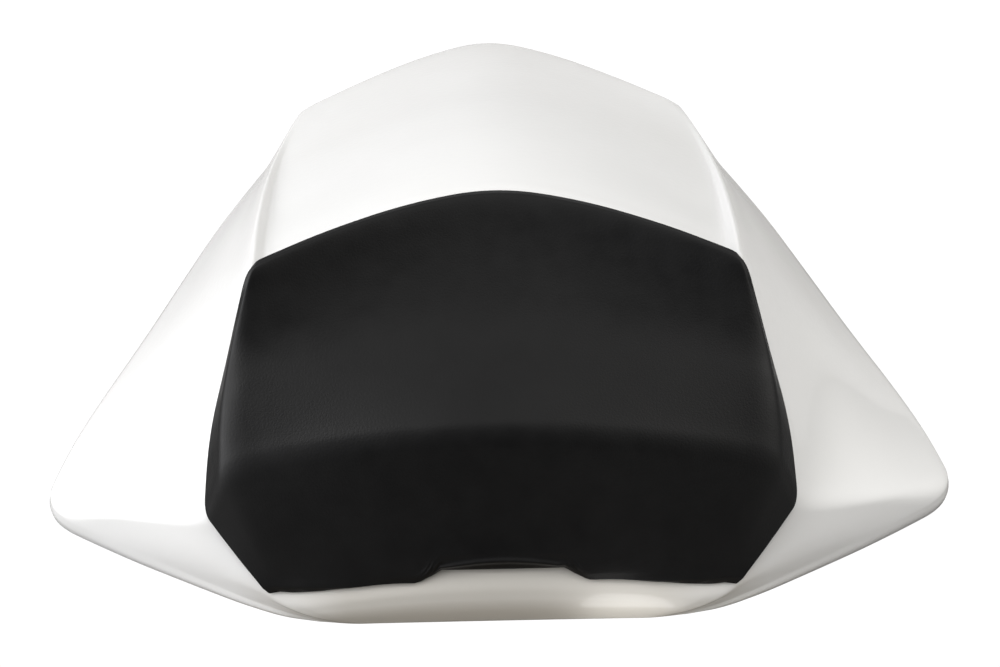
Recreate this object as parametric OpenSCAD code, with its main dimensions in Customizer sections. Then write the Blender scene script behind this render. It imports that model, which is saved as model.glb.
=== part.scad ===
// Seat cowl for a sports motorbike: a one-piece painted shell that takes the
// place of the pillion seat, with a padded bolster on its front face and the
// base plate, striker, hooks and rubber stoppers that hold it to the tail.
// +X is the rider's right, +Y is the rear of the bike, +Z is up.
// The origin is in the middle of the rectangle that the cowl covers, on the
// plane that its lower rim and its stoppers stand on.

/* [Shell] */
// Width across the two wing tips
cowl_w = 332; // [324:1:345]
// Length from the front lip to the rear edge
cowl_l = 320; // [312:1:335]
// Height scale of the shell, 1 is the modelled crest height
height_scale = 1; // [0.95:0.01:1.1]
// Wall thickness of the moulded shell
wall = 3; // [2.6:0.1:3.4]

/* [Back pad] */
// Thickness of the tape layer between the shell and the pad
tape_t = 0.8; // [0.6:0.1:1.2]
// Half width of the flat top of the notch in the pad's lower edge
notch_in = 21; // [16:1:24]
// Half width of the notch where it meets the pad's lower edge
notch_out = 31; // [27:1:36]

/* [Base plate] */
// Height of the base plate's top face above the rim plane
plate_z = 31; // [30:0.5:33]
// Thickness of the base plate
plate_t = 3; // [2.5:0.5:3.5]
// Diameter of the screw bosses under the shell
boss_d = 8; // [7:0.5:9]
// Thread core diameter of the base screws
screw_d = 4; // [3.5:0.5:4.5]

/* [Striker] */
// Diameter of the striker rod
rod_d = 8; // [7:0.5:9]
// Distance between the two legs of the striker, middle to middle
striker_w = 40; // [36:1:48]
// Distance of the striker behind the front lip
striker_u = 82; // [76:1:90]
// Distance between the two striker bolts
bolt_pitch = 66; // [64:1:74]

/* [Rear hooks] */
// Half of the distance between the two rear hooks
hook_x = 28; // [24:1:34]
// Width of a hook's tongue
hook_w = 20; // [16:1:24]

/* [Rubber stoppers] */
// Diameter of a stopper's foot
stopper_d = 22; // [20:1:24]
// Diameter of a stopper's stem
stem_d = 8; // [7:0.5:9]

/* [Hidden] */
$fn = 40;
e = 0.01;

sx = cowl_w / 332;
sy = cowl_l / 320;
sz = height_scale;

// ---------------------------------------------------------------------------
// The shell's surface. Each list is one line that runs from the bottom of the
// front lip, over the crest, to the bottom of the rear edge, as [x, u, z]:
// x out from the middle, u back from the front lip, z up from the rim plane.
// Stations: 0 lip bottom, 1 lip, 2 shoulder, 3 face bottom, 4 face,
// 5 ridge and wing crease, 6 and 7 shelf, 8 upper face, 9 crest,
// 10 to 13 rear panel, 14 rear edge, 15 rear wall, 16 bottom of the rear wall.
line_mid = [[0,0.5,0],[0,-0.5,9],[0,3,16.5],[0,13,23],[0,25,38],[0,38,54],[0,60,61],[0,86,68],[0,101,83],
            [0,116,103],[0,140,97.5],[0,190,83],[0,250,57.5],[0,305,31.5],[0,324,21.5],[0,323.5,10],[0,319,0]];
line_valley = [[50,0.5,0],[62,0,5],[70,2,8.5],[76,8.5,12.5],[85,21,22],[92.5,33,34.5],[93,50,47.5],[89,68,60.5],[84,79,75],
            [82,91,90.5],[83,113,85.5],[83.5,158,71.5],[81.5,206,54.5],[76,240,45],[73,255,39.5],[72,254.5,28],[71.5,253,16]];
line_ridge = [[54,0.8,0],[67,0.5,4],[77,3.2,7],[84,7.5,11],[94.5,18,20],[103.5,26.5,29.5],[102.5,45,46.5],[96,66,63],[91.5,77.5,78],
            [87,87,93],[87,112,89.5],[86.5,158,74.5],[84,206,55],[80,235,45.5],[78,248,40.5],[76.5,247.5,29],[76,246.8,16.5]];
line_foot = [[58,1.2,0],[71,2.5,3.5],[82,6.5,6.5],[93,12,10.5],[105,20.5,17],[113,29.5,24.5],[115,49,33],[112,72,43],[103,86,62],
            [91,93,86],[92,118,79.5],[90.5,162,67],[86.5,207,50.5],[82,230,43.5],[80.5,241,38],[79.5,242,28],[78.8,242.3,17]];
line_edge = [[63,1.8,0],[78,5,2.6],[94,12,4],[112,21.5,5],[136,34.5,6],[168,54.5,7],[161,82,8.5],[152,106,10],[138,138,12],
            [124.5,170,15],[111.5,197,20],[98.5,215,27],[90,224,32],[85.5,230,34],[83,236,31],[81.8,238,25],[81,239,18]];
// Height of the rim below each station of the edge line
rim_z = [0,0,0,0,0,0,0,0,2,5,9,13,15.5,17,17.6,17.9,18];
// How far a corner of the net is rounded, as a share of the sides beside it
hi = [0,.4,.35,.35,.5,.3,.5,.5,.5,.25,.4,.5,.5,.4,.4,.45,0];
hj = [.5,.5,.5,.16,.22,.45,.4,.16,.4,0];
// Number of facets in each rounded corner
mi = [0,2,2,2,1,3,2,2,2,2,1,2,1,2,3,1,0];
mj = [2,1,1,2,2,2,1,2,1,0];
NI = 17;
NJ = 9;

function lerp(a, b, t) = a + (b - a) * t;
function clamp01(t) = min(1, max(0, t));
// Direction out of the rim in plan, from the neighbours along the edge line
function edge_out(i) =
    let (a = line_edge[max(0, i - 1)], b = line_edge[min(NI - 1, i + 1)],
         d = [b[0] - a[0], b[1] - a[1]], l = norm(d))
    [d[1] / l, -d[0] / l];
// One line of the net between the middle and the valley line
function crown(f) = [for (i = [0 : NI - 1])
    let (a = line_mid[i], b = line_valley[i])
    [b[0] * f, lerp(a[1], b[1], pow(f, i >= 13 ? 1.5 : i >= 9 ? 1.35 : 1.8)), lerp(a[2], b[2], pow(f, i >= 13 ? 1.75 : 1.9))]];
line_wing = [for (i = [0 : NI - 1])
    let (b = [0,0,0,0,.5,1,1.5,2,1.5,1,1,.5,0,0,0,0,0][i])
    (line_foot[i] + line_edge[i]) / 2 + [b * 0.4, 0, b]];
line_roll = [for (i = [0 : NI - 1])
    let (o = edge_out(i), q = line_edge[i], zb = rim_z[i])
    i == 0 ? q + [0.6, 0.12, 0] : i == NI - 1 ? q + [0.2, -0.3, 0] :
    [q[0] + o[0] * 0.9, q[1] + o[1] * 0.9, zb + (q[2] - zb) * 0.45]];
line_rim = [for (i = [0 : NI - 1])
    let (o = edge_out(i), q = line_edge[i])
    i == 0 ? q + [1.2, 0.25, 0] : i == NI - 1 ? q + [0.4, -0.6, 0] :
    [q[0] + o[0] * 0.2, q[1] + o[1] * 0.2, rim_z[i]]];
half = [line_mid, crown(0.36), crown(0.7), line_valley, line_ridge, line_foot,
        line_wing, line_edge, line_roll, line_rim];

// Point of the net, j from -9 at the left rim to 9 at the right rim
function net(i, j) = let (q = half[abs(j)][i]) [q[0] * (j < 0 ? -1 : 1) * sx, q[1] * sy, q[2] * sz];
// The corner h of station 5 widens towards the wing tip
function hcol(k, t) = k == 5 ? lerp(0.2, 0.42, clamp01(abs(t) - 6)) : hi[k];
// Weights of the three points around vertex k, as [first index, w0, w1, w2]
function wts(t, n, ha, k) =
    let (f = t - k, h0 = (k > 0 ? ha[k] : 0), h1 = (k + 1 < n - 1 ? ha[k + 1] : 0))
    (h0 > 0 && f < h0) ? let (B = pow(f + h0, 2) / (4 * h0), A = f - B) [k - 1, -A, 1 + A - B, B] :
    (h1 > 0 && 1 - f < h1) ? let (g = f - 1, B = pow(g + h1, 2) / (4 * h1), A = g - B) [k, -A, 1 + A - B, B] :
    [k, 1 - f, f, 0];
hjf = [for (j = [-NJ : NJ]) hj[abs(j)]];
function seg(t, n) = min(n - 2, max(0, floor(t)));
// The shell's outer surface at station ti, line tj
function outer(ti, tj) =
    let (ha = [for (k = [0 : NI - 1]) hcol(k, tj)],
         a = wts(ti, NI, ha, seg(ti, NI)),
         b = wts(tj + NJ, 2 * NJ + 1, hjf, seg(tj + NJ, 2 * NJ + 1)))
    [for (c = [0 : 2]) sum([for (p = [0 : 2]) for (q = [0 : 2])
        (a[p + 1] == 0 || b[q + 1] == 0) ? 0 : a[p + 1] * b[q + 1] * net(a[0] + p, b[0] + q - NJ)[c]])];
function sum(v, i = 0, s = 0) = i == len(v) ? s : sum(v, i + 1, s + v[i]);
// Moves a point of the outer surface inwards by t; the rims keep their height
function inset(q, ti, tj, t) =
    let (g = clamp01((ti - 0.5) / 2.5) * clamp01((15.3 - ti) / 1.3) * clamp01((9 - abs(tj)) / 2.2))
    [q[0] * (1 - t / (165 * sx)), q[1] + (160 * sy - q[1]) * t / (160 * sy), q[2] - t * g];
function skin(ti, tj, t) = inset(outer(ti, tj), ti, tj, t);
// Outward direction of the surface
function nrm(ti, tj) =
    let (d = 0.04, a = outer(ti + d, tj) - outer(ti - d, tj), b = outer(ti, tj + d) - outer(ti, tj - d),
         n = cross(b, a))
    n / norm(n);
function lift(ti, tj, t) = outer(ti, tj) + nrm(ti, tj) * t;
// u runs back from the lip; y is measured from the middle
module place() { translate([0, -160 * sy, 0]) children(); }

// Sample values along one direction of the net
function ticks(n, h, m) = concat([0],
    [for (v = [1 : n - 2]) for (s = [0 : m[v]])
        if (!(s == m[v] && m[v] > 0 && v < n - 2 && v + h[v] > v + 1 - h[v + 1] - 0.02))
            v - h[v] + 2 * h[v] * s / m[v]],
    [n - 1]);
TI = ticks(NI, hi, mi);
TJ = [for (t = ticks(2 * NJ + 1, hjf, [for (j = [-NJ : NJ]) mj[abs(j)]])) t - NJ];

// Closed solid between two sheets of a by b points, A above and B below
module sheet_solid(A, B) {
    na = len(A); nb = len(A[0]); n = na * nb;
    pts = concat([for (r = A) each r], [for (r = B) each r]);
    border = concat([for (k = [0 : nb - 2]) k], [for (k = [0 : na - 2]) k * nb + nb - 1],
                    [for (k = [nb - 1 : -1 : 1]) (na - 1) * nb + k], [for (k = [na - 1 : -1 : 1]) k * nb]);
    m = len(border);
    faces = concat(
        // The two halves mirror each other, so their diagonals do too
        [for (a = [0 : na - 2]) for (b = [0 : nb - 2]) let (k = a * nb + b) each
            (2 * a < na - 1 ? [[k, k + 1, k + nb], [k + 1, k + nb + 1, k + nb]]
                            : [[k, k + 1, k + nb + 1], [k, k + nb + 1, k + nb]])],
        [for (a = [0 : na - 2]) for (b = [0 : nb - 2]) let (k = n + a * nb + b) each
            (2 * a < na - 1 ? [[k, k + nb, k + 1], [k + 1, k + nb, k + nb + 1]]
                            : [[k, k + nb + 1, k + 1], [k, k + nb, k + nb + 1]])],
        [for (k = [0 : m - 1]) let (p = border[k], q = border[(k + 1) % m]) each [[p, n + q, q], [p, n + p, n + q]]]);
    polyhedron(points = pts, faces = faces, convexity = 8);
}

// ---------------------------------------------------------------------------
// Places of the screws, as [station, line] on the shell
boss_at = [[6.4, 2.3], [8.8, 2.6], [11.2, 2.6], [12.3, 0.4]];
bosses = [for (b = boss_at) for (s = [-1, 1]) let (q = skin(b[0], s * b[1], wall)) q];

module cowl_shell() color([0.96, 0.96, 0.95]) place() {
    difference() {
        union() {
            sheet_solid([for (a = TJ) [for (t = TI) outer(t, a)]],
                        [for (a = TJ) [for (t = TI) skin(t, a, wall)]]);
            for (q = bosses) translate([q[0], q[1], plate_z]) cylinder(d = boss_d, h = q[2] - plate_z + 0.6);
        }
        for (q = bosses) translate([q[0], q[1], plate_z - 1]) cylinder(d = screw_d - 0.8, h = 13);
    }
}

// ---------------------------------------------------------------------------
// The pad's outer skin, from its lower edge to its upper edge
pad_mid = [[0,3,17.6],[0,3.8,20.8],[0,15,41],[0,27.5,68],[0,50,74.3],[0,71,80.3],[0,93,92],[0,111.5,105.5],[0,115.5,104.4]];
pad_top = [[79.5,7.1,14.3],[79.8,8.6,17.2],[86,15.5,29.5],[96.5,28,50.8],[96.8,44,65],[94.3,61.5,74.5],[89.8,74.8,86.2],[85.6,83.8,95.5],[83.2,88.7,95.6]];
pad_side = [[85,7,13.4],[87,8.8,15.5],[95,15.6,22.8],[104.8,25,32.4],[102.8,45,51],[96.6,64.5,67.5],[92.3,75.8,81.3],[88.8,82.6,93],[84.8,88,94.9]];
PI_N = 9;
phi = [0,.3,.5,.22,.5,.4,.5,.4,0];
phj = [.5,.5,.5,.3,0];
function pad_row(f) = [for (i = [0 : PI_N - 1]) let (a = pad_mid[i], b = pad_top[i])
    [b[0] * f, lerp(a[1], b[1], pow(f, i >= 7 ? 1.45 : 1.75)), lerp(a[2], b[2], pow(f, 1.85))]];
pad_half = [pad_mid, pad_row(0.36), pad_row(0.72), pad_top, pad_side];
function pad_net(i, j) = let (q = pad_half[abs(j)][i]) [q[0] * (j < 0 ? -1 : 1) * sx, q[1] * sy, q[2] * sz];
phjf = [for (j = [-4 : 4]) phj[abs(j)]];
function pad_skin(ti, tj) =
    let (a = wts(ti, PI_N, phi, seg(ti, PI_N)), b = wts(tj + 4, 9, phjf, seg(tj + 4, 9)))
    [for (c = [0 : 2]) sum([for (p = [0 : 2]) for (q = [0 : 2])
        (a[p + 1] == 0 || b[q + 1] == 0) ? 0 : a[p + 1] * b[q + 1] * pad_net(a[0] + p, b[0] + q - 4)[c]])];
// Depth of the notch at distance x from the middle, from 0 to 1
function notch(x) = let (t = clamp01((notch_out - abs(x)) / (notch_out - notch_in))) t * t * (3 - 2 * t);
PTJ = [-4, -3.5, -3.3, -3, -2.7, -2.4, -2, -1.75, -1.5, -1.3, -1.1, -0.85, -0.5, 0,
       0.5, 0.85, 1.1, 1.3, 1.5, 1.75, 2, 2.4, 2.7, 3, 3.3, 3.5, 4];
PTI = [0, 0.7, 1, 1.3, 2, 2.78, 3, 3.22, 4, 4.6, 5, 5.4, 6, 6.6, 7, 7.4, 8];
// Station on the shell under each station of the pad
function under(t) = lookup(t, [[0, 2.35], [1, 2.6], [2, 4], [3, 5], [4, 6], [5, 7], [6, 8], [7, 8.8], [8, 8.95]]);
// The lower edge sits a little higher towards its two ends
function ends_up(t, a) = 0.45 * max(0.1, clamp01(abs(a) / 2 - 0.75)) * clamp01((2 - t) / 2);
module back_pad() color([0.09, 0.09, 0.1]) place()
    sheet_solid(
        [for (a = PTJ) [for (t = PTI)
            let (w = clamp01((2 - t) / 2) * notch(pad_skin(0, a)[0]))
            pad_skin(t + w, a) + [0, 2.5 * w * clamp01(1 - t / 0.7), 0]]],
        [for (a = PTJ) [for (t = PTI)
            let (w = clamp01((2 - t) / 2) * notch(pad_skin(0, a)[0]), q = under(t) + ends_up(t, a))
            lift(lerp(q, max(q, 2.75 + t * 0.6), w), a * 0.985, tape_t + 0.2)]]);

// A strip of tape between stations i0 and i1 and lines j0 and j1
module tape(i0, i1, j0, j1, ni, nj) color([0.35, 0.35, 0.37]) place()
    sheet_solid([for (b = [0 : nj]) [for (a = [0 : ni]) lift(lerp(i0, i1, a / ni), lerp(j0, j1, b / nj), tape_t - 0.12)]],
                [for (b = [0 : nj]) [for (a = [0 : ni]) lift(lerp(i0, i1, a / ni), lerp(j0, j1, b / nj), 0.28)]]);
module tape_upper() tape(8.54, 8.7, -2.9, 2.9, 2, 24);
module tape_middle() tape(6.2, 6.6, -3, 3, 3, 24);
module tape_lower_left() tape(3.5, 3.9, -3, -1.2, 3, 10);
module tape_lower_right() tape(3.5, 3.9, 1.2, 3, 3, 10);
module tape_left() tape(4.2, 7.9, -3.62, -3.34, 20, 3);
module tape_right() tape(4.2, 7.9, 3.34, 3.62, 20, 3);

// ---------------------------------------------------------------------------
plate_low = plate_z - plate_t;
plate_half = [[0, 31], [60, 31], [78, 38], [86, 56], [84, 100], [80, 150], [76, 200], [68, 226], [48, 246], [22, 268], [0, 272]];
function outline(h, k) = concat([for (p = h) [p[0] * k * sx, (150 + (p[1] - 150) * k) * sy]],
                                [for (i = [len(h) - 2 : -1 : 1]) [-h[i][0] * k * sx, (150 + (h[i][1] - 150) * k) * sy]]);
stopper_at = [[-58, 50], [58, 50], [-52, 210], [52, 210]];
post_z = 11;

module base_plate() color([0.13, 0.13, 0.14]) place() difference() {
    union() {
        translate([0, 0, plate_low]) linear_extrude(plate_t) polygon(outline(plate_half, 1));
        // Flange around the plate
        translate([0, 0, plate_low - 5]) linear_extrude(5 + e) difference() {
            polygon(outline(plate_half, 1));
            polygon(outline(plate_half, 0.97));
        }
        // Ribs across and along
        for (u = [112, 150, 188]) translate([-72 * sx, u * sy, plate_low - 4]) cube([144 * sx, 2.5, 4 + e]);
        for (x = [-24, 24]) translate([x - 1.25, 112 * sy, plate_low - 4]) cube([2.5, 78 * sy, 4 + e]);
        // Posts that carry the stoppers
        for (p = stopper_at) translate([p[0] * sx, p[1] * sy, post_z]) cylinder(d = 18, h = plate_low - post_z + e);
    }
    for (q = bosses) translate([q[0], q[1], plate_low - 1]) cylinder(d = screw_d + 0.8, h = plate_t + 2);
    for (p = stopper_at) translate([p[0] * sx, p[1] * sy, post_z - 1]) cylinder(d = stem_d, h = plate_z - post_z - 3);
    for (s = [-1, 1]) translate([s * bolt_pitch / 2, striker_u * sy, plate_low - 1]) cylinder(d = 6.6, h = plate_t + 2);
    for (s = [-1, 1]) for (v = [-5, 5]) translate([s * hook_x + v, 224 * sy, plate_low - 1]) cylinder(d = 3.4, h = plate_t + 2);
}

module base_screw() {
    // Pan head with a cross slot, under the plate
    difference() {
        union() {
            translate([0, 0, -2.6]) cylinder(d = 8.5, h = 2.6);
            cylinder(d = screw_d - 0.8, h = plate_t + 11);
        }
        for (a = [0, 90]) rotate([0, 0, a]) translate([-2.2, -0.5, -2.7]) cube([4.4, 1, 1.5]);
    }
}
module base_screws() color([0.55, 0.56, 0.58]) place()
    for (q = bosses) translate([q[0], q[1], plate_low]) base_screw();

// ---------------------------------------------------------------------------
striker_t = 2.5;
striker_low = 9;
module striker_plate() color([0.62, 0.63, 0.65]) place() translate([0, striker_u * sy, plate_low - striker_t]) difference() {
    union() {
        translate([-bolt_pitch / 2, -11, 0]) cube([bolt_pitch, 22, striker_t]);
        for (s = [-1, 1]) translate([s * bolt_pitch / 2, 0, 0]) cylinder(d = 22, h = striker_t);
    }
    for (s = [-1, 1]) translate([s * bolt_pitch / 2, 0, -1]) cylinder(d = 6.4, h = striker_t + 2);
    for (s = [-1, 1]) translate([s * striker_w / 2, 0, -1]) cylinder(d = rod_d, h = striker_t + 2);
}
module striker_loop() color([0.72, 0.73, 0.75]) place() translate([0, striker_u * sy, 0]) {
    r = 10;
    for (s = [-1, 1]) {
        translate([s * striker_w / 2, 0, striker_low + r]) cylinder(d = rod_d, h = plate_low - striker_low - r);
        translate([s * (striker_w / 2 - r), 0, striker_low + r]) rotate([90, 0, 0])
            rotate([0, 0, s > 0 ? -90 : 180]) rotate_extrude(angle = 90) translate([r, 0]) circle(d = rod_d);
    }
    translate([-(striker_w / 2 - r), 0, striker_low]) rotate([0, 90, 0]) cylinder(d = rod_d, h = striker_w - 2 * r);
}
module striker_bolts() color([0.6, 0.61, 0.63]) place()
    for (s = [-1, 1]) translate([s * bolt_pitch / 2, striker_u * sy, plate_low - striker_t]) {
        translate([0, 0, -4.5]) cylinder(d = 11.5, h = 3.5, $fn = 6);
        translate([0, 0, -1]) cylinder(d = 14, h = 1);
        cylinder(d = 6, h = striker_t + plate_t + 8);
    }
module striker_nuts() color([0.66, 0.67, 0.69]) place()
    for (s = [-1, 1]) translate([s * bolt_pitch / 2, striker_u * sy, plate_z]) difference() {
        union() {
            cylinder(d = 14, h = 1.2);
            cylinder(d = 11.5, h = 6, $fn = 6);
        }
        translate([0, 0, -1]) cylinder(d = 6, h = 8);
    }

// ---------------------------------------------------------------------------
hook_t = 3;
module hook(s) color([0.62, 0.63, 0.65]) place() translate([s * hook_x, 218 * sy, 0]) difference() {
    union() {
        translate([-hook_w / 2, 0, plate_low - hook_t]) cube([hook_w, 20, hook_t]);
        translate([-hook_w / 2, 20 - hook_t, plate_low - 14]) cube([hook_w, hook_t, 14]);
        translate([-hook_w / 2, 20 - hook_t, plate_low - 14]) cube([hook_w, 22, hook_t]);
        translate([-hook_w / 2 + 5, 39, plate_low - 14]) cube([hook_w - 10, 5, hook_t]);
        for (v = [-1, 1]) translate([v * (hook_w / 2 - 5), 39, plate_low - 14]) cylinder(r = 5, h = hook_t);
    }
    for (v = [-5, 5]) translate([v, 6 * sy, plate_low - hook_t - 1]) cylinder(d = 4.4, h = hook_t + 2);
}
module hook_left() hook(-1);
module hook_right() hook(1);
module hook_screws() color([0.55, 0.56, 0.58]) place()
    for (s = [-1, 1]) for (v = [-5, 5]) translate([s * hook_x + v, 224 * sy, plate_low - hook_t]) {
        translate([0, 0, -2.4]) cylinder(d = 7.5, h = 2.4);
        cylinder(d = 3.4, h = hook_t + plate_t + 3);
    }

// ---------------------------------------------------------------------------
module stopper(p) color([0.16, 0.16, 0.16]) place() translate([p[0] * sx, p[1] * sy, 0]) {
    cylinder(d1 = stopper_d - 3, d2 = stopper_d, h = 2);
    translate([0, 0, 2]) cylinder(d = stopper_d, h = post_z - 2);
    cylinder(d = stem_d, h = post_z + 10);
}
module stopper_front_left() stopper(stopper_at[0]);
module stopper_front_right() stopper(stopper_at[1]);
module stopper_rear_left() stopper(stopper_at[2]);
module stopper_rear_right() stopper(stopper_at[3]);

// Felt strips inside the wings, where the rims lie on the tail
module edge_seal(s) color([0.22, 0.22, 0.23]) place()
    sheet_solid([for (b = [0 : 4]) [for (a = [0 : 20]) skin(lerp(6.2, 10.6, a / 20), (s > 0 ? lerp(6.25, 6.7, b / 4) : -lerp(6.7, 6.25, b / 4)), wall + 0.5)]],
                [for (b = [0 : 4]) [for (a = [0 : 20]) skin(lerp(6.2, 10.6, a / 20), (s > 0 ? lerp(6.25, 6.7, b / 4) : -lerp(6.7, 6.25, b / 4)), wall + 2.6)]]);
module edge_seal_left() edge_seal(-1);
module edge_seal_right() edge_seal(1);

cowl_shell();
back_pad();
tape_upper();
tape_middle();
tape_lower_left();
tape_lower_right();
tape_left();
tape_right();
base_plate();
base_screws();
striker_plate();
striker_loop();
striker_bolts();
striker_nuts();
hook_left();
hook_right();
hook_screws();
stopper_front_left();
stopper_front_right();
stopper_rear_left();
stopper_rear_right();
edge_seal_left();
edge_seal_right();
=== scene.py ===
# Seat cowl for a sports motorbike: painted shell with a padded bolster,
# seen from the front and above in soft studio light. Lengths in metres.
import bpy
import bmesh
import math
import numpy as np
from mathutils import Matrix, Vector


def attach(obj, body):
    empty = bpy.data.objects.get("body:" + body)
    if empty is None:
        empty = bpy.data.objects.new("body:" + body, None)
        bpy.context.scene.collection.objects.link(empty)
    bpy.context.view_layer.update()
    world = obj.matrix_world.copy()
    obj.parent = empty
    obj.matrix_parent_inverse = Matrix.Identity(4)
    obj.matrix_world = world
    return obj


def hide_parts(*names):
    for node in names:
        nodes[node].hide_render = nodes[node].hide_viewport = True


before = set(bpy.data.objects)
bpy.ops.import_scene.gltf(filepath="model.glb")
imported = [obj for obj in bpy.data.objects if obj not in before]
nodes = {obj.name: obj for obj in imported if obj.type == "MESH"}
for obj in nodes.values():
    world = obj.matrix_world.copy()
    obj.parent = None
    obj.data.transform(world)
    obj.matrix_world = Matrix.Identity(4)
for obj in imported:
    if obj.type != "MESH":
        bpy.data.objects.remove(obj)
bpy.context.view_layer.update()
MM = 0.001

# ---------------------------------------------------------------------------
# Surface of the shell: lines from the bottom of the front lip, over the crest,
# to the bottom of the rear edge, as x out, u back from the lip, z up, in mm.
MID = [[0,0.5,0],[0,-0.5,9],[0,3,16.5],[0,13,23],[0,25,38],[0,38,54],[0,60,61],[0,86,68],[0,101,83],
       [0,116,103],[0,140,97.5],[0,190,83],[0,250,57.5],[0,305,31.5],[0,324,21.5],[0,323.5,10],[0,319,0]]
VALLEY = [[50,0.5,0],[62,0,5],[70,2,8.5],[76,8.5,12.5],[85,21,22],[92.5,33,34.5],[93,50,47.5],[89,68,60.5],[84,79,75],
          [82,91,90.5],[83,113,85.5],[83.5,158,71.5],[81.5,206,54.5],[76,240,45],[73,255,39.5],[72,254.5,28],[71.5,253,16]]
RIDGE = [[54,0.8,0],[67,0.5,4],[77,3.2,7],[84,7.5,11],[94.5,18,20],[103.5,26.5,29.5],[102.5,45,46.5],[96,66,63],[91.5,77.5,78],
         [87,87,93],[87,112,89.5],[86.5,158,74.5],[84,206,55],[80,235,45.5],[78,248,40.5],[76.5,247.5,29],[76,246.8,16.5]]
FOOT = [[58,1.2,0],[71,2.5,3.5],[82,6.5,6.5],[93,12,10.5],[105,20.5,17],[113,29.5,24.5],[115,49,33],[112,72,43],[103,86,62],
        [91,93,86],[92,118,79.5],[90.5,162,67],[86.5,207,50.5],[82,230,43.5],[80.5,241,38],[79.5,242,28],[78.8,242.3,17]]
EDGE = [[63,1.8,0],[78,5,2.6],[94,12,4],[112,21.5,5],[136,34.5,6],[168,54.5,7],[161,82,8.5],[152,106,10],[138,138,12],
        [124.5,170,15],[111.5,197,20],[98.5,215,27],[90,224,32],[85.5,230,34],[83,236,31],[81.8,238,25],[81,239,18]]
RIM_Z = [0,0,0,0,0,0,0,0,2,5,9,13,15.5,17,17.6,17.9,18]
HI = [0,.4,.35,.35,.5,.3,.5,.5,.5,.25,.4,.5,.5,.4,.4,.45,0]
HJ = [.5,.5,.5,.16,.22,.45,.4,.16,.4,0]
BULGE = [0,0,0,0,.5,1,1.5,2,1.5,1,1,.5,0,0,0,0,0]
WALL = 3.0
BOSSES = [(6.4, 2.3), (8.8, 2.6), (11.2, 2.6), (12.3, 0.4)]
# Skin of the pad, from its lower edge to its upper edge
PAD_MID = [[0,3,17.6],[0,3.8,20.8],[0,15,41],[0,27.5,68],[0,50,74.3],[0,71,80.3],[0,93,92],[0,111.5,105.5],[0,115.5,104.4]]
PAD_TOP = [[79.5,7.1,14.3],[79.8,8.6,17.2],[86,15.5,29.5],[96.5,28,50.8],[96.8,44,65],[94.3,61.5,74.5],[89.8,74.8,86.2],[85.6,83.8,95.5],[83.2,88.7,95.6]]
PAD_SIDE = [[85,7,13.4],[87,8.8,15.5],[95,15.6,22.8],[104.8,25,32.4],[102.8,45,51],[96.6,64.5,67.5],[92.3,75.8,81.3],[88.8,82.6,93],[84.8,88,94.9]]
PHI = [0,.3,.5,.22,.5,.4,.5,.4,0]
PHJ = [.5,.5,.5,.3,0]
UNDER = ([0,1,2,3,4,5,6,7,8], [2.35,2.6,4,5,6,7,8,8.8,8.95])
NI, NJ, NP = 17, 9, 9


def arr(v):
    return np.array(v, float)


def mirrored(half):
    """Rows from the left rim to the right one, from rows that start at the middle."""
    left = half[1:][::-1].copy()
    left[..., 0] *= -1
    return np.concatenate([left, half], 0)


def shell_net():
    mid, val, rid, foot, edge = map(arr, (MID, VALLEY, RIDGE, FOOT, EDGE))
    rim_z, i = arr(RIM_Z), np.arange(NI)

    def crown(f):
        pu = np.where(i >= 13, 1.5, np.where(i >= 9, 1.35, 1.8))
        pz = np.where(i >= 13, 1.75, 1.9)
        return np.stack([val[:, 0] * f, mid[:, 1] + (val[:, 1] - mid[:, 1]) * f ** pu,
                         mid[:, 2] + (val[:, 2] - mid[:, 2]) * f ** pz], 1)

    wing = (foot + edge) / 2
    wing[:, 0] += arr(BULGE) * 0.4
    wing[:, 2] += arr(BULGE)
    nxt = edge[np.minimum(i + 1, NI - 1)] - edge[np.maximum(i - 1, 0)]
    out = np.stack([nxt[:, 1], -nxt[:, 0]], 1) / np.hypot(nxt[:, 0], nxt[:, 1])[:, None]
    roll, rim = edge.copy(), edge.copy()
    roll[:, :2] += out * 0.9
    roll[:, 2] = rim_z + (edge[:, 2] - rim_z) * 0.45
    rim[:, :2] += out * 0.2
    rim[:, 2] = rim_z
    roll[0], rim[0] = edge[0] + [0.6, 0.12, 0], edge[0] + [1.2, 0.25, 0]
    roll[-1], rim[-1] = edge[-1] + [0.2, -0.3, 0], edge[-1] + [0.4, -0.6, 0]
    return mirrored(arr([mid, crown(0.36), crown(0.7), val, rid, foot, wing, edge, roll, rim]))


def pad_net():
    mid, top, side = map(arr, (PAD_MID, PAD_TOP, PAD_SIDE))
    i = np.arange(NP)

    def row(f):
        return np.stack([top[:, 0] * f, mid[:, 1] + (top[:, 1] - mid[:, 1]) * f ** np.where(i >= 7, 1.45, 1.75),
                         mid[:, 2] + (top[:, 2] - mid[:, 2]) * f ** 1.85], 1)

    return mirrored(arr([mid, row(0.36), row(0.72), top, side]))


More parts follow.
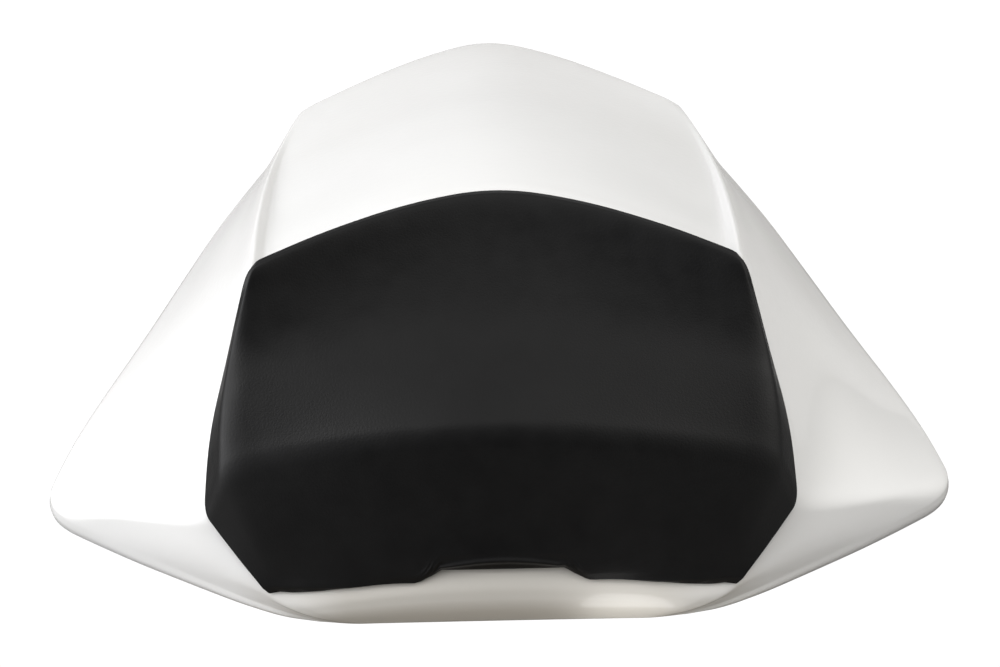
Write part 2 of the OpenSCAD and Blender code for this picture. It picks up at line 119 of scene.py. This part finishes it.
def weights(t, n, h):
    """Share of each of n net points at each t: straight between corners, a parabola round them."""
    m = len(t)
    h = np.broadcast_to(h, (m, n))
    out, r = np.zeros((m, n)), np.arange(m)
    k = np.clip(np.floor(t).astype(int), 0, n - 2)
    f = t - k
    h0 = np.where(k > 0, h[r, k], 0)
    h1 = np.where(k + 1 < n - 1, h[r, k + 1], 0)
    c0 = (h0 > 0) & (f < h0)
    c1 = ~c0 & (h1 > 0) & (1 - f < h1)
    c2 = ~(c0 | c1)
    b = (f + h0) ** 2 / (4 * np.maximum(h0, 1e-9))
    a = f - b
    i = r[c0]
    out[i, k[c0] - 1], out[i, k[c0]], out[i, k[c0] + 1] = -a[c0], (1 + a - b)[c0], b[c0]
    g = f - 1
    b = (g + h1) ** 2 / (4 * np.maximum(h1, 1e-9))
    a = g - b
    i = r[c1]
    out[i, k[c1]], out[i, k[c1] + 1], out[i, k[c1] + 2] = -a[c1], (1 + a - b)[c1], b[c1]
    i = r[c2]
    out[i, k[c2]], out[i, k[c2] + 1] = (1 - f)[c2], f[c2]
    return out


SHELL, PAD = shell_net(), pad_net()
HJ_ALL = arr(HJ[1:][::-1] + HJ)
PHJ_ALL = arr(PHJ[1:][::-1] + PHJ)


def flat_args(ti, tj):
    ti, tj = np.broadcast_arrays(arr(ti), arr(tj))
    return ti.ravel(), tj.ravel(), ti.shape


def outer(ti, tj):
    a, b, shape = flat_args(ti, tj)
    h = np.tile(arr(HI), (len(a), 1))
    h[:, 5] = 0.2 + 0.22 * np.clip(abs(b) - 6, 0, 1)
    wi, wj = weights(a, NI, h), weights(b + NJ, 2 * NJ + 1, HJ_ALL)
    return np.einsum("pj,pi,jik->pk", wj, wi, SHELL, optimize=True).reshape(shape + (3,))


def normal(ti, tj):
    d = 0.04
    n = np.cross(outer(ti, tj + d) - outer(ti, tj - d), outer(ti + d, tj) - outer(ti - d, tj))
    return n / np.linalg.norm(n, axis=-1, keepdims=True)


def inset(q, ti, tj, t):
    g = np.clip((ti - 0.5) / 2.5, 0, 1) * np.clip((15.3 - ti) / 1.3, 0, 1) * np.clip((9 - abs(tj)) / 2.2, 0, 1)
    return np.stack([q[..., 0] * (1 - t / 165), q[..., 1] + (160 - q[..., 1]) * t / 160, q[..., 2] - t * g], -1)


def pad_skin(ti, tj):
    a, b, shape = flat_args(ti, tj)
    wi, wj = weights(a, NP, arr(PHI)), weights(b + 4, 9, PHJ_ALL)
    return np.einsum("pj,pi,jik->pk", wj, wi, PAD, optimize=True).reshape(shape + (3,))


def notch(x):
    t = np.clip((31 - abs(x)) / 10, 0, 1)
    return t * t * (3 - 2 * t)


def pad_outer(ti, tj):
    w = np.clip((2 - ti) / 2, 0, 1) * notch(pad_skin(0 * ti, tj)[..., 0])
    q = pad_skin(ti + w, tj)
    q[..., 1] += 2.5 * w * np.clip(1 - ti / 0.7, 0, 1)
    return q


def pad_under(ti, tj, t=1.0):
    w = np.clip((2 - ti) / 2, 0, 1) * notch(pad_skin(0 * ti, tj)[..., 0])
    q = np.interp(ti, *UNDER) + np.clip(abs(tj) / 2 - 0.75, 0.1, 1) * 0.45 * np.clip((2 - ti) / 2, 0, 1)
    q = q + (np.maximum(q, 2.75 + ti * 0.6) - q) * w
    return outer(q, tj * 0.985) + normal(q, tj * 0.985) * t


def steps(n, h, flat, corner):
    """Parameter values along a net line, closer together round its corners."""
    v = set(np.linspace(0, n - 1, (n - 1) * flat + 1).round(4))
    for k in range(1, n - 1):
        v |= set(np.linspace(k - h[k], k + h[k], corner + 1).round(4))
    keep = [0.0]
    for t in sorted(v):
        if t - keep[-1] > 0.55 / max(flat, corner):
            keep.append(t)
    keep[-1] = n - 1.0
    return arr(keep)


def closed_sheet(name, a, b, r):
    """Closed mesh between two grids, a outside and b inside, with its border edges rounded by r."""
    na, nb = a.shape[:2]
    ring = [(0, k) for k in range(nb - 1)] + [(k, nb - 1) for k in range(na - 1)] + \
           [(na - 1, k) for k in range(nb - 1, 0, -1)] + [(k, 0) for k in range(na - 1, 0, -1)]
    a, b = a.copy(), b.copy()
    loops = [[], [], [], []]
    moved = []
    for (i, j) in ring:
        ii = 1 if i == 0 else na - 2 if i == na - 1 else i
        jj = 1 if j == 0 else nb - 2 if j == nb - 1 else j
        p, q = a[i, j], b[i, j]
        ta, tb = a[ii, jj] - p, b[ii, jj] - q
        ta, tb = ta / np.linalg.norm(ta), tb / np.linalg.norm(tb)
        s = q - p
        w = np.linalg.norm(s)
        s = s / w
        c = min(r, 0.3 * w)
        moved.append((i, j, p + ta * c, q + tb * c))
        loops[0].append(p + (ta + s) * c * 0.29)
        loops[1].append(p + s * c)
        loops[2].append(q - s * c)
        loops[3].append(q + (tb - s) * c * 0.29)
    for i, j, p, q in moved:
        a[i, j], b[i, j] = p, q
    n, m = na * nb, len(ring)
    verts = np.concatenate([a.reshape(-1, 3), b.reshape(-1, 3)] + [arr(l) for l in loops])
    faces = []
    for i in range(na - 1):
        for j in range(nb - 1):
            k = i * nb + j
            faces.append((k, k + 1, k + nb + 1, k + nb))
            faces.append((n + k, n + k + nb, n + k + nb + 1, n + k + 1))
    first = [i * nb + j for i, j in ring]
    rows = [first] + [[2 * n + l * m + k for k in range(m)] for l in range(4)] + [[n + k for k in first]]
    for lo, up in zip(rows, rows[1:]):
        for k in range(m):
            k2 = (k + 1) % m
            faces.append((lo[k], up[k], up[k2], lo[k2]))
    verts = (verts - [0, 160, 0]) * MM
    mesh = bpy.data.meshes.new(name)
    mesh.from_pydata(verts.tolist(), [], faces)
    mesh.update()
    return mesh, n, len(faces)


def add(name, mesh, mats, sharp=40):
    obj = bpy.data.objects.new(name, mesh)
    bpy.context.scene.collection.objects.link(obj)
    for m in mats:
        mesh.materials.append(m)
    mesh.shade_smooth()
    if sharp:
        mesh.set_sharp_from_angle(angle=math.radians(sharp))
    return obj


# ---------------------------------------------------------------------------
# Materials
def material(name, **values):
    m = bpy.data.materials.new(name)
    m.use_nodes = True
    nt = m.node_tree
    s = nt.nodes["Principled BSDF"]
    for k, v in values.items():
        s.inputs[k.replace("_", " ")].default_value = v
    return m, nt, s


def node(nt, kind, **values):
    n = nt.nodes.new(kind)
    for k, v in values.items():
        if k in n.inputs:
            n.inputs[k].default_value = v
        else:
            setattr(n, k, v)
    return n


def noise(nt, coord, scale, detail=3.0, rough=0.5):
    n = node(nt, "ShaderNodeTexNoise", Scale=scale, Detail=detail, Roughness=rough)
    nt.links.new(coord, n.inputs["Vector"])
    return n.outputs["Fac"]


def span(nt, fac, lo, hi, a=0.3, b=0.7):
    n = node(nt, "ShaderNodeMapRange")
    n.inputs["From Min"].default_value, n.inputs["From Max"].default_value = a, b
    n.inputs["To Min"].default_value, n.inputs["To Max"].default_value = lo, hi
    nt.links.new(fac, n.inputs["Value"])
    return n.outputs["Result"]


def tint(nt, fac, c0, c1, a=0.3, b=0.7):
    n = node(nt, "ShaderNodeValToRGB")
    n.color_ramp.elements[0].position, n.color_ramp.elements[1].position = a, b
    n.color_ramp.elements[0].color, n.color_ramp.elements[1].color = (*c0, 1), (*c1, 1)
    nt.links.new(fac, n.inputs["Fac"])
    return n.outputs["Color"]


def bump(nt, height, strength, distance, under=None):
    n = node(nt, "ShaderNodeBump", Strength=strength, Distance=distance)
    nt.links.new(height, n.inputs["Height"])
    if under is not None:
        nt.links.new(under, n.inputs["Normal"])
    return n.outputs["Normal"]


def place(nt):
    return nt.nodes.new("ShaderNodeTexCoord").outputs["Object"]


def white_paint():
    m, nt, s = material("white_paint", Coat_Weight=1.0, Coat_Roughness=0.045, Coat_IOR=1.5, IOR=1.46)
    p = place(nt)
    body = tint(nt, noise(nt, p, 9, 3), (0.80, 0.80, 0.79), (0.83, 0.83, 0.825))
    # Painted shade: the lip below the pad is tinted darker and warmer, standing for the dim warm light that falls on
    # it
    parts = nt.nodes.new("ShaderNodeSeparateXYZ")
    nt.links.new(p, parts.inputs[0])
    reach = node(nt, "ShaderNodeMath", operation="ABSOLUTE")
    nt.links.new(parts.outputs["X"], reach.inputs[0])
    lip_shade_mask = node(nt, "ShaderNodeMath", operation="MULTIPLY")
    nt.links.new(span(nt, reach.outputs[0], 1.0, 0.0, 0.055, 0.095), lip_shade_mask.inputs[0])
    nt.links.new(span(nt, parts.outputs["Y"], 1.0, 0.0, -0.150, -0.130), lip_shade_mask.inputs[1])
    painted_shade_tint = node(nt, "ShaderNodeMix", data_type="RGBA", blend_type="MULTIPLY")
    nt.links.new(lip_shade_mask.outputs[0], painted_shade_tint.inputs["Factor"])
    nt.links.new(body, painted_shade_tint.inputs["A"])
    painted_shade_tint.inputs["B"].default_value = (0.75, 0.725, 0.68, 1)
    nt.links.new(painted_shade_tint.outputs["Result"], s.inputs["Base Color"])
    nt.links.new(span(nt, noise(nt, p, 60, 4), 0.32, 0.42), s.inputs["Roughness"])
    # Orange peel of sprayed lacquer, and the slow wave of a thin moulding
    wave = bump(nt, noise(nt, p, 14, 1), 0.035, 0.004)
    nt.links.new(wave, s.inputs["Normal"])
    both = bump(nt, noise(nt, p, 420, 2), 0.05, 0.0006, wave)
    nt.links.new(both, s.inputs["Coat Normal"])
    return m


def raw_plastic():
    m, nt, s = material("white_raw_plastic", IOR=1.5)
    p = place(nt)
    nt.links.new(tint(nt, noise(nt, p, 25, 4), (0.66, 0.66, 0.65), (0.72, 0.72, 0.71)), s.inputs["Base Color"])
    nt.links.new(span(nt, noise(nt, p, 300, 3), 0.48, 0.62), s.inputs["Roughness"])
    nt.links.new(bump(nt, noise(nt, p, 900, 3), 0.25, 0.0004), s.inputs["Normal"])
    return m


def vinyl():
    m, nt, s = material("black_vinyl", IOR=1.3, Specular_IOR_Level=0.5)
    p = place(nt)
    cells = node(nt, "ShaderNodeTexVoronoi", feature="DISTANCE_TO_EDGE", Scale=780.0, Randomness=1.0)
    warp = node(nt, "ShaderNodeVectorMath", operation="MULTIPLY_ADD")
    wob = node(nt, "ShaderNodeTexNoise", Scale=350.0, Detail=2.0)
    nt.links.new(p, wob.inputs["Vector"])
    nt.links.new(wob.outputs["Color"], warp.inputs[0])
    warp.inputs[1].default_value = (0.0012, 0.0012, 0.0012)
    nt.links.new(p, warp.inputs[2])
    nt.links.new(warp.outputs["Vector"], cells.inputs["Vector"])
    grain = span(nt, cells.outputs["Distance"], 0.0, 1.0, 0.0, 0.28)
    nt.links.new(tint(nt, noise(nt, p, 40, 5), (0.0045, 0.0045, 0.0047), (0.0062, 0.0062, 0.0064)), s.inputs["Base Color"])
    nt.links.new(span(nt, noise(nt, p, 120, 4), 0.34, 0.43), s.inputs["Roughness"])
    # Painted shade: faces of the pad that lean sideways get less specular reflection and read darker, standing for the
    # shade in the gap along the shell
    parts = nt.nodes.new("ShaderNodeSeparateXYZ")
    nt.links.new(nt.nodes.new("ShaderNodeNewGeometry").outputs["Normal"], parts.inputs[0])
    lean = node(nt, "ShaderNodeMath", operation="ABSOLUTE")
    nt.links.new(parts.outputs["X"], lean.inputs[0])
    nt.links.new(span(nt, lean.outputs[0], 0.5, 0.12, 0.6, 0.9), s.inputs["Specular IOR Level"])
    fine = bump(nt, grain, 0.16, 0.00012)
    soft = bump(nt, noise(nt, p, 1600, 2), 0.20, 0.0001, fine)
    slow = bump(nt, noise(nt, p, 30, 2), 0.04, 0.002, soft)
    nt.links.new(slow, s.inputs["Normal"])
    return m


def moulded_black(name, c0, c1, r0, r1, scale=700, depth=0.00025):
    m, nt, s = material(name, IOR=1.5)
    p = place(nt)
    nt.links.new(tint(nt, noise(nt, p, 30, 4), c0, c1), s.inputs["Base Color"])
    nt.links.new(span(nt, noise(nt, p, 150, 4), r0, r1), s.inputs["Roughness"])
    nt.links.new(bump(nt, noise(nt, p, scale, 3), 0.35, depth), s.inputs["Normal"])
    return m


def metal(name, colour, r0, r1, brushed=None):
    m, nt, s = material(name, Metallic=1.0)
    p = place(nt)
    lo = tuple(c * 0.82 for c in colour)
    nt.links.new(tint(nt, noise(nt, p, 70, 5), lo, colour), s.inputs["Base Color"])
    nt.links.new(span(nt, noise(nt, p, 160, 5), r0, r1), s.inputs["Roughness"])
    v = p
    if brushed:
        sc = node(nt, "ShaderNodeMapping")
        sc.inputs["Scale"].default_value = brushed
        nt.links.new(p, sc.inputs["Vector"])
        v = sc.outputs["Vector"]
    nt.links.new(bump(nt, noise(nt, v, 500, 3), 0.15, 0.00015), s.inputs["Normal"])
    return m


PAINT, RAW, VINYL = white_paint(), raw_plastic(), vinyl()
PLATE = moulded_black("black_plate_plastic", (0.012, 0.012, 0.013), (0.022, 0.022, 0.023), 0.42, 0.58)
RUBBER = moulded_black("stopper_rubber", (0.010, 0.010, 0.010), (0.020, 0.020, 0.019), 0.65, 0.82, 1100, 0.0003)
FOAM = moulded_black("foam_tape", (0.05, 0.05, 0.052), (0.09, 0.09, 0.092), 0.85, 0.95, 1600, 0.0004)
FELT = moulded_black("felt", (0.022, 0.022, 0.024), (0.045, 0.045, 0.047), 0.9, 1.0, 2200, 0.0006)
ZINC = metal("zinc_plate", (0.66, 0.67, 0.68), 0.26, 0.40)
BRIGHT = metal("bright_rod", (0.78, 0.78, 0.79), 0.14, 0.26, (1, 8, 8))

# ---------------------------------------------------------------------------
# Shell
ti = steps(NI, HI, 8, 8)
tj = steps(2 * NJ + 1, HJ_ALL, 7, 6) - NJ
TI, TJ = np.meshgrid(ti, tj)
top = outer(TI, TJ)
mesh, n_grid, n_faces = closed_sheet("shell", top, inset(top, TI, TJ, WALL), 0.8)
inside = np.zeros(n_faces, np.int32)
inside[1:2 * (len(tj) - 1) * (len(ti) - 1):2] = 1
# Screw bosses under the shell: tubes down to the plate
bm = bmesh.new()
bm.from_mesh(mesh)
turn = np.linspace(0, 2 * np.pi, 41)[:-1]
for at, line in BOSSES:
    for line in (-line, line):
        x, u, z = inset(outer(arr([at]), arr([line])), arr([at]), arr([line]), WALL)[0]
        rings = []
        for r, h in ((1.6, 43.5), (1.6, 31.4), (2.0, 31), (3.7, 31), (4, 31.3), (4, z + 1)):
            h = min(h, z + 0.8)
            rings.append([bm.verts.new(((x + r * math.cos(a)) * MM, (u - 160 + r * math.sin(a)) * MM, h * MM)) for a in turn])
        for lo, up in zip(rings, rings[1:]):
            for k in range(40):
                bm.faces.new((lo[k], lo[(k + 1) % 40], up[(k + 1) % 40], up[k]))
        bm.faces.new(rings[0])
        bm.faces.new(rings[-1])
bmesh.ops.recalc_face_normals(bm, faces=bm.faces)
bm.to_mesh(mesh)
bm.free()
inside = np.concatenate([inside, np.ones(len(mesh.polygons) - n_faces, np.int32)])
shell = add("shell_moulding", mesh, [PAINT, RAW], 50)
mesh.polygons.foreach_set("material_index", inside)
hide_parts("cowl_shell")
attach(shell, "root")

# ---------------------------------------------------------------------------
# Back pad. A low fold of the cover arches over the notch.
def pad_seen(ti, tj):
    q = pad_outer(ti, tj)
    w = np.clip((2 - ti) / 2, 0, 1) * notch(pad_skin(0 * ti, tj)[..., 0])
    x = np.clip(abs(q[..., 0]) / 29, 0, 1)
    up = np.exp(-((ti + w - 1.24 + 0.22 * x * x) / 0.05) ** 2) * np.clip((1 - x) * 5, 0, 1)
    return q + up[..., None] * arr([0, -0.87, 0.49])


pi = steps(NP, PHI, 14, 10)
pi = np.unique(np.concatenate([pi, np.linspace(0, 1, 31)]).round(4))
pi = pi[np.concatenate([[True], np.diff(pi) > 0.012])]
pj = steps(9, PHJ_ALL, 16, 12) - 4
PI, PJ = np.meshgrid(pi, pj)
# The lower edge hangs a little in the notch, and between it and the corners
reach = abs(pad_skin(0 * PI, PJ)[..., 0])
sag = np.clip((reach - 34) / 28, 0, 1) * np.clip((88 - reach) / 18, 0, 1) + np.clip((28 - reach) / 8, 0, 1)
sag = np.clip(sag, 0, 1) * np.clip(1 - PI / 1.2, 0, 1)
sag = sag * sag * (3 - 2 * sag)
fall = pad_under(0 * PI, PJ) - pad_under(0 * PI + 0.5, PJ)
fall = fall / np.linalg.norm(fall, axis=-1, keepdims=True) * 1.5 * sag[..., None]
mesh, _, _ = closed_sheet("pad", pad_seen(PI, PJ) + fall, pad_under(PI, PJ) + fall, 0.5)
mesh.flip_normals()
pad = add("pad_cover", mesh, [VINYL], 60)
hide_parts("back_pad")
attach(pad, "root")

# ---------------------------------------------------------------------------
# The pieces under the shell
FINISH = {
    "base_plate": PLATE, "base_screws": ZINC, "striker_plate": ZINC, "striker_loop": BRIGHT,
    "striker_bolts": ZINC, "striker_nuts": ZINC, "hook_left": ZINC, "hook_right": ZINC, "hook_screws": ZINC,
}
for name, obj in nodes.items():
    if name in ("cowl_shell", "back_pad"):
        continue
    finish = FINISH.get(name) or (RUBBER if name.startswith("stopper") else FELT if name.startswith("edge") else FOAM)
    obj.data.materials.clear()
    obj.data.materials.append(finish)

# ---------------------------------------------------------------------------
# Floor, light and camera
def studio():
    scene = bpy.context.scene
    scene.view_settings.view_transform = "Standard"
    scene.view_settings.look = "None"
    scene.view_settings.exposure = 0.0
    scene.view_settings.gamma = 1.0
    # Floor: a pale card, with a dark one close round the object and a dark warm patch in front of the lip, both
    # painted shade. Both cards show white in the picture and only darken the bounce the object gets, a little warmer
    # right in front of the lip.
    def card(name, obj, near, mid, far):
        m = bpy.data.materials.new(name)
        m.use_nodes = True
        nt = m.node_tree
        s = nt.nodes["Principled BSDF"]
        spot = node(nt, "ShaderNodeVectorMath", operation="DISTANCE")
        nt.links.new(place(nt), spot.inputs[0])
        spot.inputs[1].default_value = (0.0, -0.24, 0)
        ramp = nt.links.new(tint(nt, spot.outputs["Value"], near, mid, 0.04, 0.18), s.inputs["Base Color"]).from_node.color_ramp
        for at, c in ((0.55, mid), (0.85, far)):
            ramp.elements.new(at).color = (*c, 1)
        s.inputs["Roughness"].default_value = 0.9
        s.inputs["Specular IOR Level"].default_value = 0.0
        glow = node(nt, "ShaderNodeEmission", Color=(1, 1, 1, 1), Strength=1.05)
        seen = node(nt, "ShaderNodeLightPath")
        mix = nt.nodes.new("ShaderNodeMixShader")
        nt.links.new(seen.outputs["Is Camera Ray"], mix.inputs["Fac"])
        nt.links.new(s.outputs["BSDF"], mix.inputs[1])
        nt.links.new(glow.outputs["Emission"], mix.inputs[2])
        nt.links.new(mix.outputs["Shader"], nt.nodes["Material Output"].inputs["Surface"])
        obj.name = name
        obj.data.materials.append(m)

    bpy.ops.mesh.primitive_plane_add(size=14, location=(0, 0, -0.0006))
    card("floor", bpy.context.object, (0.15, 0.12, 0.08), (0.51, 0.505, 0.50), (0.45, 0.45, 0.45))
    edge = arr(EDGE)[:, :2]
    step = np.gradient(edge, axis=0)
    out = np.stack([step[:, 1], -step[:, 0]], 1) / np.hypot(step[:, 0], step[:, 1])[:, None]
    side = ((edge + out * 16) - [0, 160]) * MM
    ring = [(x, y, -0.0003) for x, y in side] + [(-x, y, -0.0003) for x, y in side[::-1]]
    mesh = bpy.data.meshes.new("shade_card")
    mesh.from_pydata(ring, [], [tuple(range(len(ring)))])
    shade_card_obj = bpy.data.objects.new("shade_card", mesh)
    scene.collection.objects.link(shade_card_obj)
    card("shade_card", shade_card_obj, (0.28, 0.24, 0.18), (0.22, 0.215, 0.21), (0.22, 0.22, 0.22))
    # World: a pale room with its big window on the left
    w = bpy.data.worlds.new("room")
    scene.world = w
    w.use_nodes = True
    nt = w.node_tree
    bg = nt.nodes["Background"]
    co = nt.nodes.new("ShaderNodeTexCoord").outputs["Generated"]
    total = None
    for axis, power, level, tone in (((0, 0.6, 0.8), 6, 0.25, (1, 1, 1)), ((0.7, 0.1, 0.7), 6, 2.6, (1, 0.985, 0.955)),
                                     ((-1, 0, 0.2), 6, 3.75, (0.975, 0.98, 1)), ((0, 1, 0.25), 6, 0.56, (1, 1, 1)),
                                     ((-0.7, -0.65, 0.3), 8, 0.5, (0.975, 0.985, 1)), ((0.75, -0.6, 0.3), 8, 0.5, (1, 0.98, 0.94)),
                                     ((-0.3, 0.12, 0.94), 14, 0.95, (1, 0.995, 0.99)), ((-0.7, 0.1, 0.7), 6, 0.3, (1, 1, 1)),
                                     ((-0.95, -0.1, 0.45), 6, 1.5, (0.99, 0.985, 1))):
        dot = node(nt, "ShaderNodeVectorMath", operation="DOT_PRODUCT")
        nt.links.new(co, dot.inputs[0])
        dot.inputs[1].default_value = Vector(axis).normalized()
        up = node(nt, "ShaderNodeMath", operation="MAXIMUM")
        nt.links.new(dot.outputs["Value"], up.inputs[0])
        up.inputs[1].default_value = 0
        pw = node(nt, "ShaderNodeMath", operation="POWER")
        nt.links.new(up.outputs[0], pw.inputs[0])
        pw.inputs[1].default_value = power
        part = node(nt, "ShaderNodeVectorMath", operation="SCALE")
        part.inputs[0].default_value = [c * level for c in tone]
        nt.links.new(pw.outputs[0], part.inputs["Scale"])
        if total is not None:
            plus = node(nt, "ShaderNodeVectorMath", operation="ADD")
            nt.links.new(total, plus.inputs[0])
            nt.links.new(part.outputs[0], plus.inputs[1])
            part = plus
        total = part.outputs[0]
    nt.links.new(total, bg.inputs["Color"])
    bg.inputs["Strength"].default_value = 0.94
    white = node(nt, "ShaderNodeBackground", Color=(1, 1, 1, 1), Strength=1.05)
    mix = nt.nodes.new("ShaderNodeMixShader")
    seen = nt.nodes.new("ShaderNodeLightPath")
    nt.links.new(seen.outputs["Is Camera Ray"], mix.inputs["Fac"])
    nt.links.new(bg.outputs["Background"], mix.inputs[1])
    nt.links.new(white.outputs["Background"], mix.inputs[2])
    nt.links.new(mix.outputs["Shader"], nt.nodes["World Output"].inputs["Surface"])

    def area(name, where, aim, size, watts, colour=(1, 1, 1)):
        d = bpy.data.lights.new(name, "AREA")
        d.shape, d.size, d.energy, d.color = "DISK", size, watts, colour
        o = bpy.data.objects.new(name, d)
        o.location = where
        o.rotation_mode = "QUATERNION"
        o.rotation_quaternion = (Vector(aim) - Vector(where)).to_track_quat("-Z", "Y")
        o.visible_camera = False
        scene.collection.objects.link(o)

    area("key", (-1.1, -0.1, 1.5), (0, 0, 0.05), 1.0, 6.0)
    area("glint", (0.045, -0.171, 0.0015), (0.045, -0.158, 0.009), 0.034, 0.0046)


def camera():
    a, e, r = math.radians(-0.82), math.radians(42), math.radians(-0.59)
    back = Vector((math.sin(a) * math.cos(e), -math.cos(a) * math.cos(e), math.sin(e)))
    right = Vector((math.cos(a), math.sin(a), 0))
    up = back.cross(right)
    right, up = right * math.cos(r) + up * math.sin(r), up * math.cos(r) - right * math.sin(r)
    d = bpy.data.cameras.new("camera")
    d.lens, d.sensor_width, d.sensor_fit = 92.16, 36.0, "HORIZONTAL"
    d.clip_start, d.clip_end = 0.05, 50
    o = bpy.data.objects.new("camera", d)
    m = Matrix((right, up, back)).transposed().to_4x4()
    m.translation = Vector((1.2, -57.5, 45)) * MM + back * 0.95
    o.matrix_world = m
    bpy.context.scene.collection.objects.link(o)
    bpy.context.scene.camera = o


studio()
camera()
